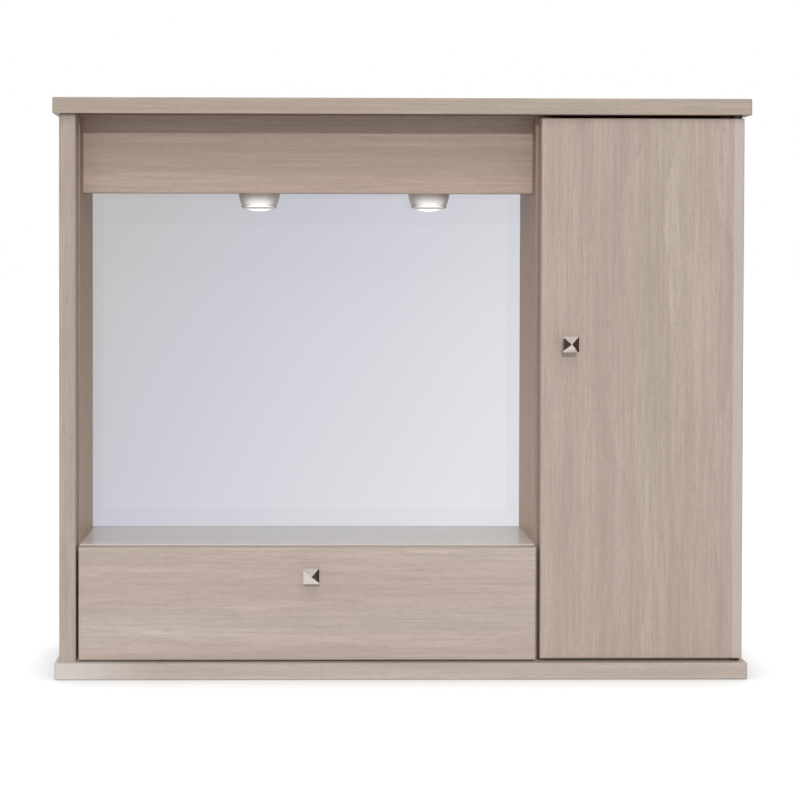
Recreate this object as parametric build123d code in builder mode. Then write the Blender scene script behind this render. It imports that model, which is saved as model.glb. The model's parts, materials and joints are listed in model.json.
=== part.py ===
"""Wall-hung bathroom mirror cabinet in wood-grain board.

Frame: X to the right, Y towards the wall, Z up, in millimetres. The wall plane is Y = 0, the middle of the
cabinet is X = 0 and its underside is Z = 0, so the fronts face -Y.
"""

import math
import os

from build123d import *

os.makedirs("parts", exist_ok=True)

# Overall sizes
front_width = 757.0
top_overhang = 6.5
bottom_overhang = 4.5
total_height = 641.0
board_depth = 160.0

# Boards
board = 18.0
front_thickness = 18.0
back_board = 12.0
thin_back = 4.0
glass_thickness = 4.0

# Front layout
front_setback = 7.0
front_gap = 2.0
side_inset = 2.5
stile_width = 18.5
bay_width = 508.0
divider_cover = 3.5
flap_side_gap = 2.75
flap_door_gap = 4.25
flap_height = 125.0
flap_swing_clearance = 0.4
door_end_gap = 3.0

# Mirror bay
bay_shelf_top = 145.3
fascia_height = 85.1
fascia_setback = 43.0
light_shelf_rise = 8.1
wall_gap = 2.0
fit_gap = 0.3
rest_gap = 0.1

# Edge roundings
board_corner_radius = 3.0
board_edge_radius = 1.2
front_edge_radius = 2.0
back_edge_radius = 1.0
fitting_corner_radius = 3.0

# Flap hinges: measured from the flap's lower edge (up) and the carcass front (outwards)
hinge_span = 372.0
hinge_pivot_up = 24.0
hinge_pivot_out = front_gap + front_thickness / 2
hinge_pin_radius = 1.5
hinge_pin_length = 26.0
cup_radius = 17.5
cup_depth = 13.5
cup_flange = (52.0, 26.0, 1.2)
cup_pocket = (9.2, 29.0, 12.7)
cup_screw_spacing = 43.0
arm_width = 8.0
arm_eye_radius = 3.3
eye_side = 0.85
eye_diagonal = 0.7
foot_size = (34.0, 30.0, 3.0)
foot_back_in = 46.0
foot_screw_spacing = 22.0
arm_riser = 8.0
arm_shoulder = (5.0, 4.5)
arm_neck_setback = 1.5
arm_crook = 3.5
arm_root = (3.5, 2.5)

# Planes and faces that the pieces share
boards_front_y = -board_depth
front_face_y = boards_front_y + front_setback
front_back_y = front_face_y + front_thickness
carcass_front_y = front_back_y + front_gap
floor_z = board
ceiling_z = total_height - board
front_left_x = -front_width / 2
front_right_x = front_width / 2
stile_right_x = front_left_x + stile_width
left_outer_x = front_left_x + side_inset
bay_left_x = left_outer_x + board
bay_right_x = bay_left_x + bay_width
cupboard_left_x = bay_right_x + board
right_outer_x = front_right_x - side_inset
cupboard_right_x = right_outer_x - board
door_left_x = bay_right_x + divider_cover
door_bottom_z = floor_z + door_end_gap
door_top_z = ceiling_z - door_end_gap
flap_left_x = stile_right_x + flap_side_gap
flap_right_x = door_left_x - flap_door_gap
flap_swing_radius = front_edge_radius + math.hypot(
    hinge_pivot_up - front_edge_radius, front_thickness / 2 - front_edge_radius
)
flap_bottom_z = floor_z + flap_swing_radius - hinge_pivot_up + flap_swing_clearance
flap_top_z = flap_bottom_z + flap_height
bay_shelf_bottom = bay_shelf_top - board
back_board_rear_y = -wall_gap
back_board_front_y = back_board_rear_y - back_board
fascia_bottom = ceiling_z - fascia_height
fascia_front_y = front_face_y + fascia_setback
fascia_back_y = fascia_front_y + board
light_shelf_bottom = fascia_bottom + light_shelf_rise
light_shelf_top = light_shelf_bottom + board

# Knock-down fittings of the carcass
cam_radius = 7.5
cam_depth = 12.5
cam_distance = 34.0
cam_bolt_radius = 3.5
cam_neck_radius = 2.5
cam_bolt_hole_radius = 4.0
cam_bolt_seat = 10.0
cam_y = -60.0
cam_slot = (9.0, 2.0)
dowel_radius = 4.0
dowel_length = 30.0
dowel_seat = 9.0
dowel_y = carcass_front_y + 18.0
shelf_dowel_ys = (carcass_front_y + 28.0, back_board_front_y - 31.0)
light_dowel_y = (fascia_back_y + back_board_front_y) / 2
fascia_dowel_offset = 180.0
pilot_clearance = 0.05
screw_sides = 6
screw_head_sides = 12
dowel_sides = 8
hole_relief = 0.5

# Cupboard fittings
groove_depth = 5.0
groove_clearance = 0.2
thin_back_rear_y = -8.0
thin_back_front_y = thin_back_rear_y - thin_back
rail_height = 70.0
rail_bottom_z = ceiling_z - rail_height
shelf_side_gap = 0.5
shelf_front_setback = 6.0
shelf_heights = (215.0, 415.0)
shelf_pin_radius = 2.5
shelf_pin_seat = 8.0
shelf_pin_reach = 8.0
shelf_pin_ys = (carcass_front_y + 21.0, thin_back_front_y - 24.0)
shelf_pin_pitch = 32.0

# Hanging plates
hanger_inset = 38.0
hanger_z = ceiling_z - 33.0
plate_width = 60.0
plate_height = 38.0
keyhole_entry_radius = 5.0
keyhole_slot_radius = 2.6
keyhole_entry_drop = 6.0
keyhole_slot_rise = 7.0
hanger_pocket = (20.0, 30.0, 9.0)
hanger_screw_spacing = 46.0
hanger_screw_length = 8.0

# Door pivots
pivot_inset = 6.5
pivot_x = front_right_x - pivot_inset
pivot_y = front_back_y - front_thickness / 2
pivot_pin_radius = 2.5
pivot_running_gap = 0.05
pivot_seat = 10.0
pivot_reach = 14.0
bush_radius = 4.0
bush_length = 16.0
bush_flange_radius = 5.5
bush_flange = 0.7
collar_radius = 5.5

# Knobs
knob_size = 17.6
knob_stem_radius = 4.5
knob_stem_length = 12.5
knob_flare = 3.5
knob_land = 1.5
knob_peak = 5.5
knob_back_size = 12.0
knob_tip_size = 0.6
knob_screw_radius = 2.0
knob_screw_grip = 9.0
door_knob_x = door_left_x + 30.4
door_knob_z = door_bottom_z + 350.0
flap_knob_x = (flap_left_x + flap_right_x) / 2 + 3.8
flap_knob_z = flap_top_z - 28.0

# Screws
screw_radius = 1.75
screw_length = 12.0
screw_head_radius = 3.5
screw_head_height = 1.5
back_screw_length = 35.0

# Lamps
bay_mid_x = (bay_left_x + bay_right_x) / 2
spot_xs = {"left": bay_mid_x - 55.6, "right": bay_mid_x + 141.5}
spot_y = fascia_back_y + 35.0
spot_top_radius = 25.0
spot_waist_radius = 24.0
spot_rim_radius = 20.5
spot_drop = 21.0
spot_waist_drop = 8.0
spot_plug_radius = 22.0
spot_hole_gap = 0.5
spot_gland_radius = 5.0
spot_gland_height = 4.0
spot_cavity_radius = 13.0
spot_cavity_depth = 16.0
spot_wall = 2.5
lens_dome = 3.0
lens_steps = (1.0, 0.7, 0.35, 0.0)
ring_height = 2.5
ring_lip = 0.5
ring_bevel = 1.0
driver_size = (110.0, 40.0, 32.0)
driver_x = bay_mid_x + 43.0
lead_radius = 2.5
lead_bend = 8.0
lead_drop = 8.0
grommet_x = driver_x
grommet_z = ceiling_z - 19.0
grommet_radius = 9.0
grommet_bore = 5.0
grommet_flange = (13.0, 1.8)

# Catches and bumpers
catch_size = (14.0, 15.0, 44.0)
catch_ear = 5.0
catch_case_length = 22.0
catch_screw_spacing = 34.0
strike_size = (12.0, 1.3, 44.0)
door_catch_z = sum(shelf_heights) / len(shelf_heights) - 15.0
flap_catch_x = (flap_left_x + flap_right_x) / 2 - 71.0
bumper_radius = 4.0
bumper_height = 1.7
bumper_inset = 9.0


def keep(piece, name):
    """Labels a finished piece and writes it under its own name."""
    piece.part.label = name
    export_step(piece.part, f"parts/{name}.step")


def block(x_limits, y_limits, z_limits, mode=Mode.ADD):
    """A rectangular block between pairs of limits, in the open part."""
    centre = [(low + high) / 2 for low, high in (x_limits, y_limits, z_limits)]
    sizes = [high - low for low, high in (x_limits, y_limits, z_limits)]
    with Locations(tuple(centre)):
        Box(*sizes, mode=mode)


def rod(start, direction, radius, length, mode=Mode.ADD):
    """A round rod, or a round hole, from a start point along a direction, in the open part."""
    with Locations(Plane(origin=start, z_dir=direction).location):
        Cylinder(radius, length, align=(Align.CENTER, Align.CENTER, Align.MIN), mode=mode)


def prism(start, direction, radius, length, sides, mode=Mode.ADD):
    """A rod or hole with flat sides, for fittings that are hidden in their holes."""
    with BuildSketch(Plane(origin=start, z_dir=direction)) as outline:
        RegularPolygon(radius, sides)
    extrude(outline.sketch, amount=length, mode=mode)


def pilot(start, direction, radius, length, sides=None):
    """The hole that a screw, pin or dowel of this radius and length sits in."""
    depth = length + hole_relief
    if sides is None:
        rod(start, direction, radius + pilot_clearance, depth, Mode.SUBTRACT)
    else:
        prism(start, direction, radius + pilot_clearance, depth, sides, Mode.SUBTRACT)


def through_hole(start, direction, depth, head_depth=0.0):
    """A screw's hole through a thin piece, with a recess for its head where head_depth is given."""
    prism(start, direction, screw_radius + pilot_clearance, depth, screw_sides, Mode.SUBTRACT)
    if head_depth:
        recess_radius = screw_head_radius + pilot_clearance
        prism(start, direction, recess_radius, head_depth, screw_head_sides, Mode.SUBTRACT)


def screw(head_seat, direction, length=screw_length, head_height=screw_head_height):
    """A pan-head wood screw whose head bears on head_seat and whose shank runs along direction."""
    outwards = tuple(-c for c in direction)
    prism(head_seat, outwards, screw_head_radius, head_height, screw_head_sides)
    prism(head_seat, direction, screw_radius, length, screw_sides)


def dowel_hole(start, direction, length=dowel_seat):
    """A blind hole for the share of a dowel that sits in this piece."""
    pilot(start, direction, dowel_radius, length, dowel_sides)


def screw_hole(start, direction, length=screw_length):
    """A blind hole for a screw's thread."""
    pilot(start, direction, screw_radius, length, screw_sides)


def revolved(x, y, points):
    """A closed profile of (radius, height) points turned about the upright axis through x, y."""
    with BuildSketch(Plane(origin=(x, y, 0), x_dir=(1, 0, 0), z_dir=(0, -1, 0))) as profile:
        with BuildLine():
            Polyline(*points, close=True)
        make_face()
    revolve(profile.sketch, axis=Axis((x, y, 0), (0, 0, 1)))


# Places of the fittings that several pieces share
UP, DOWN = (0, 0, 1), (0, 0, -1)
RIGHT, LEFT = (1, 0, 0), (-1, 0, 0)
FORWARD, BACKWARD = (0, -1, 0), (0, 1, 0)

# Each upright panel: its middle plane, its cam face and the direction into the panel from that face
uprights = {
    "left_side_panel": ((left_outer_x + bay_left_x) / 2, bay_left_x, LEFT),
    "divider": ((bay_right_x + cupboard_left_x) / 2, bay_right_x, RIGHT),
    "right_side_panel": ((cupboard_right_x + right_outer_x) / 2, cupboard_right_x, RIGHT),
}
upright_ends = ((floor_z, UP, DOWN), (ceiling_z, DOWN, UP))
bay_shelf_mid = (bay_shelf_top + bay_shelf_bottom) / 2
light_shelf_mid = (light_shelf_top + light_shelf_bottom) / 2
fascia_dowel_xs = (bay_mid_x - fascia_dowel_offset, bay_mid_x + fascia_dowel_offset)
back_screw_xs = (bay_mid_x - fascia_dowel_offset, bay_mid_x, bay_mid_x + fascia_dowel_offset)
cross_dowels = [(y, bay_shelf_mid) for y in shelf_dowel_ys] + [(light_dowel_y, light_shelf_mid)]
shelf_pin_zs = [top - shelf_pin_radius for top in shelf_heights]
flap_mid_x = (flap_left_x + flap_right_x) / 2
hinge_xs = {"left": flap_mid_x - hinge_span / 2, "right": flap_mid_x + hinge_span / 2}
hinge_pivot_y = carcass_front_y - hinge_pivot_out
hinge_pivot_z = flap_bottom_z + hinge_pivot_up
hanger_xs = {"left": bay_left_x + hanger_inset, "right": cupboard_right_x - hanger_inset}
catch_mid_y = carcass_front_y + catch_size[1] / 2
cup_screw_xs = [x + side * cup_screw_spacing / 2 for x in hinge_xs.values() for side in (-1, 1)]
foot_screw_xs = [x + side * foot_screw_spacing / 2 for x in hinge_xs.values() for side in (-1, 1)]
foot_far_y = carcass_front_y + foot_back_in
foot_screw_y = foot_far_y - foot_size[1] / 4
lead_height = light_shelf_top + driver_size[2] - lead_drop


def projecting_board(name, overhang, z_low, cam_direction):
    """The top or bottom board: full depth, rounded front corners, bored for bolts, dowels and pivot."""
    inner_z = z_low if cam_direction == UP else z_low + board
    half_width = front_width / 2 + overhang
    with BuildPart() as piece:
        block((-half_width, half_width), (boards_front_y, 0), (z_low, z_low + board))
        front_corners = piece.edges().filter_by(Axis.Z).group_by(Axis.Y)[0]
        fillet(front_corners, board_corner_radius)
        long_edges = piece.faces().sort_by(Axis.Y)[0].edges().filter_by(Axis.X)
        fillet(long_edges, board_edge_radius)
        for mid_x, _, _ in uprights.values():
            pilot((mid_x, cam_y, inner_z), cam_direction, cam_bolt_radius, cam_bolt_seat, dowel_sides)
            dowel_hole((mid_x, dowel_y, inner_z), cam_direction)
        pilot((pivot_x, pivot_y, inner_z), cam_direction, pivot_pin_radius, pivot_seat)
        if name == "bottom_board":
            block(
                (cupboard_left_x - groove_depth, cupboard_right_x + groove_depth),
                (thin_back_front_y - groove_clearance, thin_back_rear_y + groove_clearance),
                (floor_z - groove_depth, floor_z),
                Mode.SUBTRACT,
            )
            for x in foot_screw_xs:
                screw_hole((x, foot_screw_y, inner_z), DOWN)
    keep(piece, name)


projecting_board("top_board", top_overhang, ceiling_z, UP)
projecting_board("bottom_board", bottom_overhang, 0.0, DOWN)


def upright_panel(name, x_limits, bay_side, cupboard_side):
    """A side panel or the divider, with its cams, dowel holes, shelf-pin holes and back groove."""
    mid_x, cam_face_x, cam_in = uprights[name]
    with BuildPart() as piece:
        block(x_limits, (carcass_front_y, 0), (floor_z, ceiling_z))
        for end_z, into, _ in upright_ends:
            cam_z = end_z + into[2] * cam_distance
            pilot((cam_face_x, cam_y, cam_z), cam_in, cam_radius, cam_depth)
            prism((mid_x, cam_y, end_z), into, cam_bolt_hole_radius, cam_distance, dowel_sides, Mode.SUBTRACT)
            dowel_hole((mid_x, dowel_y, end_z), into, dowel_length - dowel_seat)
        if bay_side:
            face_x, into_panel = bay_side
            for y, z in cross_dowels:
                dowel_hole((face_x, y, z), into_panel)
        if cupboard_side:
            face_x, into_panel = cupboard_side
            pin_hole_zs = [z + step * shelf_pin_pitch for z in shelf_pin_zs for step in (-1, 0, 1)]
            for z in pin_hole_zs:
                for y in shelf_pin_ys:
                    pilot((face_x, y, z), into_panel, shelf_pin_radius, shelf_pin_seat, dowel_sides)
            groove_x = sorted((face_x, face_x + into_panel[0] * groove_depth))
            block(
                groove_x,
                (thin_back_front_y - groove_clearance, thin_back_rear_y + groove_clearance),
                (floor_z, rail_bottom_z),
                Mode.SUBTRACT,
            )
        if name == "divider":
            for side in (-1, 1):
                seat_z = door_catch_z + side * catch_screw_spacing / 2
                screw_hole((cupboard_left_x, catch_mid_y, seat_z), LEFT)
    keep(piece, name)


upright_panel("left_side_panel", (left_outer_x, bay_left_x), (bay_left_x, LEFT), None)
upright_panel("divider", (bay_right_x, cupboard_left_x), (bay_right_x, RIGHT), (cupboard_left_x, LEFT))
upright_panel("right_side_panel", (cupboard_right_x, right_outer_x), None, (cupboard_right_x, RIGHT))

with BuildPart() as left_front_stile:
    block((front_left_x, stile_right_x), (front_face_y, carcass_front_y), (floor_z, ceiling_z))
    stile_front = left_front_stile.faces().sort_by(Axis.Y)[0]
    fillet(stile_front.edges().filter_by(Axis.Z), front_edge_radius)
keep(left_front_stile, "left_front_stile")

with BuildPart() as bay_shelf:
    block((bay_left_x, bay_right_x), (carcass_front_y, back_board_front_y), (bay_shelf_bottom, bay_shelf_top))
    shelf_nose = bay_shelf.faces().sort_by(Axis.Y)[0].edges().filter_by(Axis.X)
    fillet(shelf_nose, back_edge_radius)
    for y in shelf_dowel_ys:
        dowel_hole((bay_left_x, y, bay_shelf_mid), RIGHT, dowel_length - dowel_seat)
        dowel_hole((bay_right_x, y, bay_shelf_mid), LEFT, dowel_length - dowel_seat)
    for x in back_screw_xs:
        screw_hole((x, back_board_front_y, bay_shelf_mid), FORWARD, back_screw_length - back_board)
    for side in (-1, 1):
        seat_x = flap_catch_x + side * catch_screw_spacing / 2
        screw_hole((seat_x, catch_mid_y, bay_shelf_bottom), UP)
keep(bay_shelf, "bay_shelf")

with BuildPart() as light_shelf:
    block(
        (bay_left_x, bay_right_x),
        (fascia_back_y, back_board_front_y),
        (light_shelf_bottom, light_shelf_top),
    )
    dowel_hole((bay_left_x, light_dowel_y, light_shelf_mid), RIGHT, dowel_length - dowel_seat)
    dowel_hole((bay_right_x, light_dowel_y, light_shelf_mid), LEFT, dowel_length - dowel_seat)
    for x in fascia_dowel_xs:
        dowel_hole((x, fascia_back_y, light_shelf_mid), BACKWARD, dowel_length - dowel_seat)
    for x in back_screw_xs:
        screw_hole((x, back_board_front_y, light_shelf_mid), FORWARD, back_screw_length - back_board)
    for x in spot_xs.values():
        rod((x, spot_y, light_shelf_bottom), UP, spot_plug_radius + spot_hole_gap, board, Mode.SUBTRACT)
keep(light_shelf, "light_shelf")

with BuildPart() as fascia:
    block((bay_left_x, bay_right_x), (fascia_front_y, fascia_back_y), (fascia_bottom, ceiling_z))
    lower_edges = fascia.faces().sort_by(Axis.Z)[0].edges().filter_by(Axis.X)
    fillet(lower_edges, back_edge_radius)
    for x in fascia_dowel_xs:
        dowel_hole((x, fascia_back_y, light_shelf_mid), FORWARD)
keep(fascia, "fascia")


def hanger_pocket_cut(x):
    """The relief behind a keyhole plate, where the head of the wall screw goes."""
    width, height, depth = hanger_pocket
    block(
        (x - width / 2, x + width / 2),
        (back_board_rear_y - depth, back_board_rear_y),
        (hanger_z - height / 2, hanger_z + height / 2),
        Mode.SUBTRACT,
    )
    for side in (-1, 1):
        seat_x = x + side * hanger_screw_spacing / 2
        screw_hole((seat_x, back_board_rear_y, hanger_z), FORWARD, hanger_screw_length)


with BuildPart() as bay_back_panel:
    block((bay_left_x, bay_right_x), (back_board_front_y, back_board_rear_y), (floor_z, ceiling_z))
    hanger_pocket_cut(hanger_xs["left"])
    for z in (bay_shelf_mid, light_shelf_mid):
        for x in back_screw_xs:
            through_hole((x, back_board_rear_y, z), FORWARD, back_board, screw_head_height)
    grommet_hole_radius = grommet_radius + pilot_clearance
    rod((grommet_x, back_board_rear_y, grommet_z), FORWARD, grommet_hole_radius, back_board, Mode.SUBTRACT)
keep(bay_back_panel, "bay_back_panel")

with BuildPart() as cupboard_back_panel:
    block(
        (cupboard_left_x - groove_depth + fit_gap, cupboard_right_x + groove_depth - fit_gap),
        (thin_back_front_y, thin_back_rear_y),
        (floor_z - groove_depth + fit_gap, rail_bottom_z + groove_depth - fit_gap),
    )
    for side_x, width in ((cupboard_left_x, -1), (cupboard_right_x, 1)):
        block(
            sorted((side_x, side_x + width * groove_depth)),
            (thin_back_front_y, thin_back_rear_y),
            (rail_bottom_z - fit_gap, rail_bottom_z + groove_depth),
            Mode.SUBTRACT,
        )
keep(cupboard_back_panel, "cupboard_back_panel")

with BuildPart() as cupboard_hanging_rail:
    block(
        (cupboard_left_x, cupboard_right_x),
        (back_board_front_y, back_board_rear_y),
        (rail_bottom_z, ceiling_z),
    )
    block(
        (cupboard_left_x, cupboard_right_x),
        (thin_back_front_y - groove_clearance, thin_back_rear_y + groove_clearance),
        (rail_bottom_z, rail_bottom_z + groove_depth),
        Mode.SUBTRACT,
    )
    hanger_pocket_cut(hanger_xs["right"])
keep(cupboard_hanging_rail, "cupboard_hanging_rail")

for shelf_name, shelf_bottom in zip(("cupboard_shelf_lower", "cupboard_shelf_upper"), shelf_heights):
    with BuildPart() as cupboard_shelf:
        block(
            (cupboard_left_x + shelf_side_gap, cupboard_right_x - shelf_side_gap),
            (carcass_front_y + shelf_front_setback, thin_back_front_y - shelf_side_gap),
            (shelf_bottom + rest_gap, shelf_bottom + board),
        )
        fillet(cupboard_shelf.faces().sort_by(Axis.Y)[0].edges().filter_by(Axis.X), back_edge_radius)
    keep(cupboard_shelf, shelf_name)

with BuildPart() as shelf_pins:
    for pin_z in shelf_pin_zs:
        for y in shelf_pin_ys:
            length = shelf_pin_seat + shelf_pin_reach
            prism((cupboard_left_x - shelf_pin_seat, y, pin_z), RIGHT, shelf_pin_radius, length, dowel_sides)
            prism((cupboard_right_x + shelf_pin_seat, y, pin_z), LEFT, shelf_pin_radius, length, dowel_sides)
keep(shelf_pins, "shelf_pins")

with BuildPart() as dowels:
    for mid_x, _, _ in uprights.values():
        prism((mid_x, dowel_y, floor_z - dowel_seat), UP, dowel_radius, dowel_length, dowel_sides)
        prism((mid_x, dowel_y, ceiling_z + dowel_seat), DOWN, dowel_radius, dowel_length, dowel_sides)
    for y, z in cross_dowels:
        prism((bay_left_x - dowel_seat, y, z), RIGHT, dowel_radius, dowel_length, dowel_sides)
        prism((bay_right_x + dowel_seat, y, z), LEFT, dowel_radius, dowel_length, dowel_sides)
    for x in fascia_dowel_xs:
        dowel_start = (x, fascia_back_y - dowel_seat, light_shelf_mid)
        prism(dowel_start, BACKWARD, dowel_radius, dowel_length, dowel_sides)
keep(dowels, "dowels")

with BuildPart() as cam_locks:
    for mid_x, cam_face_x, cam_in in uprights.values():
        for end_z, into, _ in upright_ends:
            cam_z = end_z + into[2] * cam_distance
            rod((cam_face_x, cam_y, cam_z), cam_in, cam_radius, cam_depth)
            bolt_way = tuple(-c for c in into)
            cam_centre = (mid_x, cam_y, cam_z)
            prism(cam_centre, bolt_way, cam_bolt_hole_radius, cam_radius, dowel_sides, Mode.SUBTRACT)
            slot_long, slot_wide = cam_slot
            for height, depth_y in ((slot_long, slot_wide), (slot_wide, slot_long)):
                with Locations((cam_face_x, cam_y, cam_z)):
                    Box(slot_wide, depth_y, height, mode=Mode.SUBTRACT)
keep(cam_locks, "cam_locks")

with BuildPart() as cam_bolts:
    for mid_x, _, _ in uprights.values():
        for end_z, into, out in upright_ends:
            thread_start = (mid_x, cam_y, end_z + out[2] * cam_bolt_seat)
            prism(thread_start, into, cam_bolt_radius, cam_bolt_seat, dowel_sides)
            neck_length = cam_distance - cam_bolt_radius
            prism((mid_x, cam_y, end_z), into, cam_neck_radius, neck_length, dowel_sides)
keep(cam_bolts, "cam_bolts")

with BuildPart() as back_panel_screws:
    for z in (bay_shelf_mid, light_shelf_mid):
        for x in back_screw_xs:
            head_seat = (x, back_board_rear_y - screw_head_height, z)
            screw(head_seat, FORWARD, back_screw_length - screw_head_height)
keep(back_panel_screws, "back_panel_screws")

with BuildPart() as mirror_glass:
    block(
        (bay_left_x + fit_gap, bay_right_x - fit_gap),
        (back_board_front_y - glass_thickness, back_board_front_y),
        (bay_shelf_top + fit_gap, light_shelf_bottom - fit_gap),
    )
keep(mirror_glass, "mirror_glass")


def hanger_plate(name, x):
    """A steel plate with a keyhole: the screw head enters below and the neck rests at the top."""
    entry_z = hanger_z - keyhole_entry_drop
    slot_z = hanger_z + keyhole_slot_rise
    with BuildPart() as piece:
        with BuildSketch(Plane(origin=(x, back_board_rear_y, hanger_z), x_dir=RIGHT, z_dir=BACKWARD)):
            RectangleRounded(plate_width, plate_height, fitting_corner_radius)
        extrude(amount=wall_gap)
        rod((x, 0, entry_z), FORWARD, keyhole_entry_radius, wall_gap, Mode.SUBTRACT)
        rod((x, 0, slot_z), FORWARD, keyhole_slot_radius, wall_gap, Mode.SUBTRACT)
        block(
            (x - keyhole_slot_radius, x + keyhole_slot_radius),
            (-wall_gap, 0),
            (entry_z, slot_z),
            Mode.SUBTRACT,
        )
        for side in (-1, 1):
            seat_x = x + side * hanger_screw_spacing / 2
            through_hole((seat_x, 0, hanger_z), FORWARD, wall_gap, screw_head_height)
    keep(piece, name)


for side_name, x in hanger_xs.items():
    hanger_plate(f"hanger_plate_{side_name}", x)

with BuildPart() as hanger_screws:
    for x in hanger_xs.values():
        for side in (-1, 1):
            seat_x = x + side * hanger_screw_spacing / 2
            screw((seat_x, -screw_head_height, hanger_z), FORWARD, hanger_screw_length)
keep(hanger_screws, "hanger_screws")


def spot_lamp(side_name, x):
    """A tapered cup lamp let into the light shelf, its lens held by a ring at the lower rim."""
    rim_z = light_shelf_bottom - spot_drop
    waist_z = light_shelf_bottom - spot_waist_drop
    plug_top_z = light_shelf_top + spot_wall
    cavity_z = rim_z + spot_cavity_depth
    rim_inner = spot_rim_radius - spot_wall
    with BuildPart() as housing:
        revolved(
            x,
            spot_y,
            [
                (0, cavity_z),
                (spot_cavity_radius, cavity_z),
                (rim_inner, rim_z),
                (spot_rim_radius, rim_z),
                (spot_waist_radius, waist_z),
                (spot_top_radius, light_shelf_bottom),
                (spot_plug_radius, light_shelf_bottom),
                (spot_plug_radius, plug_top_z),
                (spot_gland_radius, plug_top_z),
                (spot_gland_radius, plug_top_z + spot_gland_height),
                (0, plug_top_z + spot_gland_height),
            ],
        )
    keep(housing, f"spot_housing_{side_name}")
    with BuildPart() as ring:
        revolved(
            x,
            spot_y,
            [
                (rim_inner, rim_z - ring_height),
                (spot_rim_radius - ring_bevel, rim_z - ring_height),
                (spot_rim_radius + ring_lip, rim_z - ring_height / 2),
                (spot_rim_radius, rim_z),
                (rim_inner, rim_z),
            ],
        )
    keep(ring, f"spot_ring_{side_name}")
    lens_radius = rim_inner - rest_gap
    edge_z = rim_z - ring_height
    dome = [(lens_radius * share, edge_z - lens_dome * (1 - share**2)) for share in lens_steps]
    with BuildPart() as lens:
        revolved(x, spot_y, [(0, rim_z), (lens_radius, rim_z)] + dome)
    keep(lens, f"spot_lens_{side_name}")
    driver_end_x = driver_x + (driver_size[0] / 2 if x > driver_x else -driver_size[0] / 2)
    lead_start_z = plug_top_z + spot_gland_height
    with BuildPart() as lead:
        with BuildLine():
            FilletPolyline(
                (x, spot_y, lead_start_z),
                (x, spot_y, lead_height),
                (driver_end_x, spot_y, lead_height),
                radius=lead_bend,
            )
        with BuildSketch(Plane(origin=(x, spot_y, lead_start_z), z_dir=UP)):
            RegularPolygon(lead_radius, dowel_sides)
        sweep()
    keep(lead, f"lamp_lead_{side_name}")


for side_name, x in spot_xs.items():
    spot_lamp(side_name, x)

with BuildPart() as lamp_driver:
    length, width, height = driver_size
    block(
        (driver_x - length / 2, driver_x + length / 2),
        (spot_y - width / 2, spot_y + width / 2),
        (light_shelf_top, light_shelf_top + height),
    )
    fillet(lamp_driver.edges().filter_by(Axis.Z), fitting_corner_radius)
keep(lamp_driver, "lamp_driver")

with BuildPart() as cable_grommet:
    flange_radius, flange_height = grommet_flange
    rod((grommet_x, back_board_rear_y, grommet_z), BACKWARD, flange_radius, flange_height)
    rod((grommet_x, back_board_rear_y, grommet_z), FORWARD, grommet_radius, back_board)
    rod((grommet_x, 0, grommet_z), FORWARD, grommet_bore, back_board + wall_gap, Mode.SUBTRACT)
keep(cable_grommet, "cable_grommet")


def rounded_front(x_limits, z_limits):
    """A door or flap blank with its front edges rounded and its back edges eased."""
    with BuildPart() as blank:
        block(x_limits, (front_face_y, front_back_y), z_limits)
        fillet(blank.faces().sort_by(Axis.Y)[0].edges(), front_edge_radius)
        fillet(blank.faces().sort_by(Axis.Y)[-1].edges(), back_edge_radius)
    return blank.part


door_bumper_zs = (door_bottom_z + bumper_inset, door_top_z - bumper_inset)
door_bumper_points = [(door_left_x + bumper_inset, z) for z in door_bumper_zs]
flap_bumper_xs = (flap_left_x + bumper_inset, flap_right_x - bumper_inset)
flap_bumper_points = [(x, bay_shelf_mid) for x in flap_bumper_xs]
door_strike_x = cupboard_left_x + catch_size[0] / 2
flap_strike_z = bay_shelf_bottom - catch_size[0] / 2


def knob_hole(x, z):
    """The through hole for a knob's screw, in the open front."""
    radius = knob_screw_radius + pilot_clearance
    rod((x, front_back_y, z), FORWARD, radius, front_thickness, Mode.SUBTRACT)


door_blank = rounded_front((door_left_x, front_right_x), (door_bottom_z, door_top_z))
flap_blank = rounded_front((flap_left_x, flap_right_x), (flap_bottom_z, flap_top_z))

with BuildPart() as door:
    add(door_blank)
    pilot((pivot_x, pivot_y, door_bottom_z), UP, bush_radius, bush_length)
    pilot((pivot_x, pivot_y, door_top_z), DOWN, bush_radius, bush_length)
    knob_hole(door_knob_x, door_knob_z)
    screw_hole((door_strike_x, front_back_y, door_catch_z), FORWARD)
keep(door, "door")

with BuildPart() as flap:
    add(flap_blank)
    for x in hinge_xs.values():
        pilot((x, front_back_y, hinge_pivot_z), FORWARD, cup_radius, cup_depth - hole_relief + fit_gap)
    for x in cup_screw_xs:
        screw_hole((x, front_back_y, hinge_pivot_z), FORWARD)
    knob_hole(flap_knob_x, flap_knob_z)
    screw_hole((flap_catch_x, front_back_y, flap_strike_z), FORWARD)
keep(flap, "flap")


def pyramid_knob(name, x, z):
    """A square knob: round stem, flared square back, thin square land and a four-sided peak."""
    stem_end = front_face_y - knob_stem_length
    land_start = stem_end - knob_flare
    land_end = land_start - knob_land
    with BuildPart() as piece:
        rod((x, front_face_y, z), FORWARD, knob_stem_radius, knob_stem_length)
        for size, y, depth, next_size in (
            (knob_back_size, stem_end, knob_flare, knob_size),
            (knob_size, land_start, knob_land, knob_size),
            (knob_size, land_end, knob_peak, knob_tip_size),
        ):
            with BuildSketch(Plane(origin=(x, y, z), x_dir=RIGHT, z_dir=FORWARD)):
                Rectangle(size, size)
            extrude(amount=depth, taper=math.degrees(math.atan((size - next_size) / 2 / depth)))
        pilot((x, front_face_y, z), FORWARD, knob_screw_radius, knob_screw_grip)
    keep(piece, name)


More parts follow.
